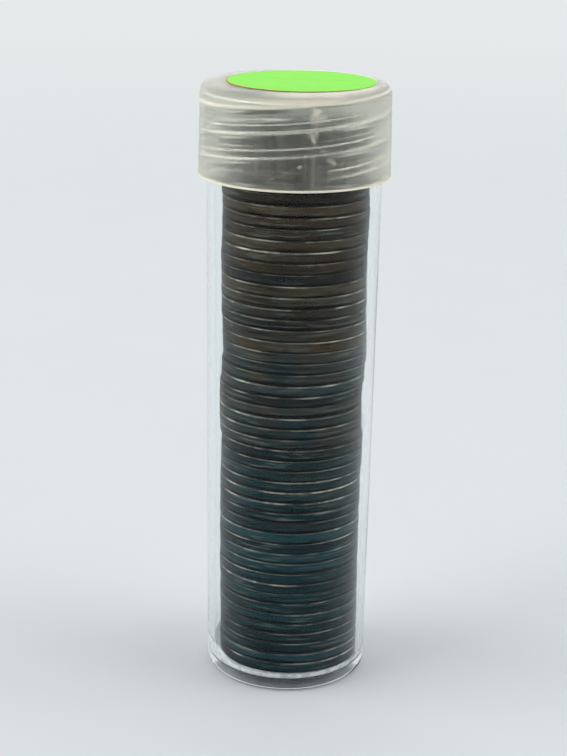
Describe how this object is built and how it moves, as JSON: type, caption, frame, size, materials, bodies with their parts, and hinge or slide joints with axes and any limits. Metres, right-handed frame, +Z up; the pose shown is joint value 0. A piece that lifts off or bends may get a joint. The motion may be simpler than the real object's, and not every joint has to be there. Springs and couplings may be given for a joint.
{
  "type": "screw-cap coin tube",
  "caption": "Clear round tube with a translucent screw cap, a round sticker on the cap and a stack of small coins inside.",
  "frame": {"origin": "centre of the foot, on the surface that the tube stands on", "axes": "+Z up along the tube's axis towards the cap, -Y towards the viewer, +X to the viewer's right"},
  "size_m": [0.0234, 0.0234, 0.0759],
  "materials": {
    "clear_plastic": "clear moulded polystyrene, polished",
    "milky_plastic": "natural translucent polypropylene",
    "paper": "fluorescent green sticker paper",
    "coin_metal": "tarnished, worn coin metal"
  },
  "bodies": {
    "tube": {"tube": "clear_plastic"},
    "coins": {"coin_01": "coin_metal", "coin_02": "coin_metal", "coin_03": "coin_metal", "coin_04": "coin_metal", "coin_05": "coin_metal", "coin_06": "coin_metal", "coin_07": "coin_metal", "coin_08": "coin_metal", "coin_09": "coin_metal", "coin_10": "coin_metal", "coin_11": "coin_metal", "coin_12": "coin_metal", "coin_13": "coin_metal", "coin_14": "coin_metal", "coin_15": "coin_metal", "coin_16": "coin_metal", "coin_17": "coin_metal", "coin_18": "coin_metal", "coin_19": "coin_metal", "coin_20": "coin_metal", "coin_21": "coin_metal", "coin_22": "coin_metal", "coin_23": "coin_metal", "coin_24": "coin_metal", "coin_25": "coin_metal", "coin_26": "coin_metal", "coin_27": "coin_metal", "coin_28": "coin_metal", "coin_29": "coin_metal", "coin_30": "coin_metal", "coin_31": "coin_metal", "coin_32": "coin_metal", "coin_33": "coin_metal", "coin_34": "coin_metal", "coin_35": "coin_metal", "coin_36": "coin_metal", "coin_37": "coin_metal", "coin_38": "coin_metal", "coin_39": "coin_metal", "coin_40": "coin_metal", "coin_41": "coin_metal", "coin_42": "coin_metal", "coin_43": "coin_metal", "coin_44": "coin_metal", "coin_45": "coin_metal", "coin_46": "coin_metal", "coin_47": "coin_metal", "coin_48": "coin_metal", "coin_49": "coin_metal", "coin_50": "coin_metal"},
    "label": {"label": "paper"},
    "cap": {"cap": "milky_plastic"}
  },
  "joints": [
    {"name": "coin_stack_slide", "type": "slide", "parent": "tube", "child": "coins", "axis": [0, 0, 1], "range_m": [0, 0.0036]},
    {"name": "cap_rise", "type": "slide", "parent": "tube", "child": "label", "axis": [0, 0, 1], "range_m": [0, 0.0116]},
    {"name": "cap_turn", "type": "hinge", "parent": "label", "child": "cap", "pos_m": [0, 0, 0.0757], "axis": [0, 0, 1], "range_deg": [0, 720]}
  ],
  "couplings": [
    {"joint": "cap_rise", "follows": "cap_turn", "m_per_rad": 0.00092309}
  ]
}
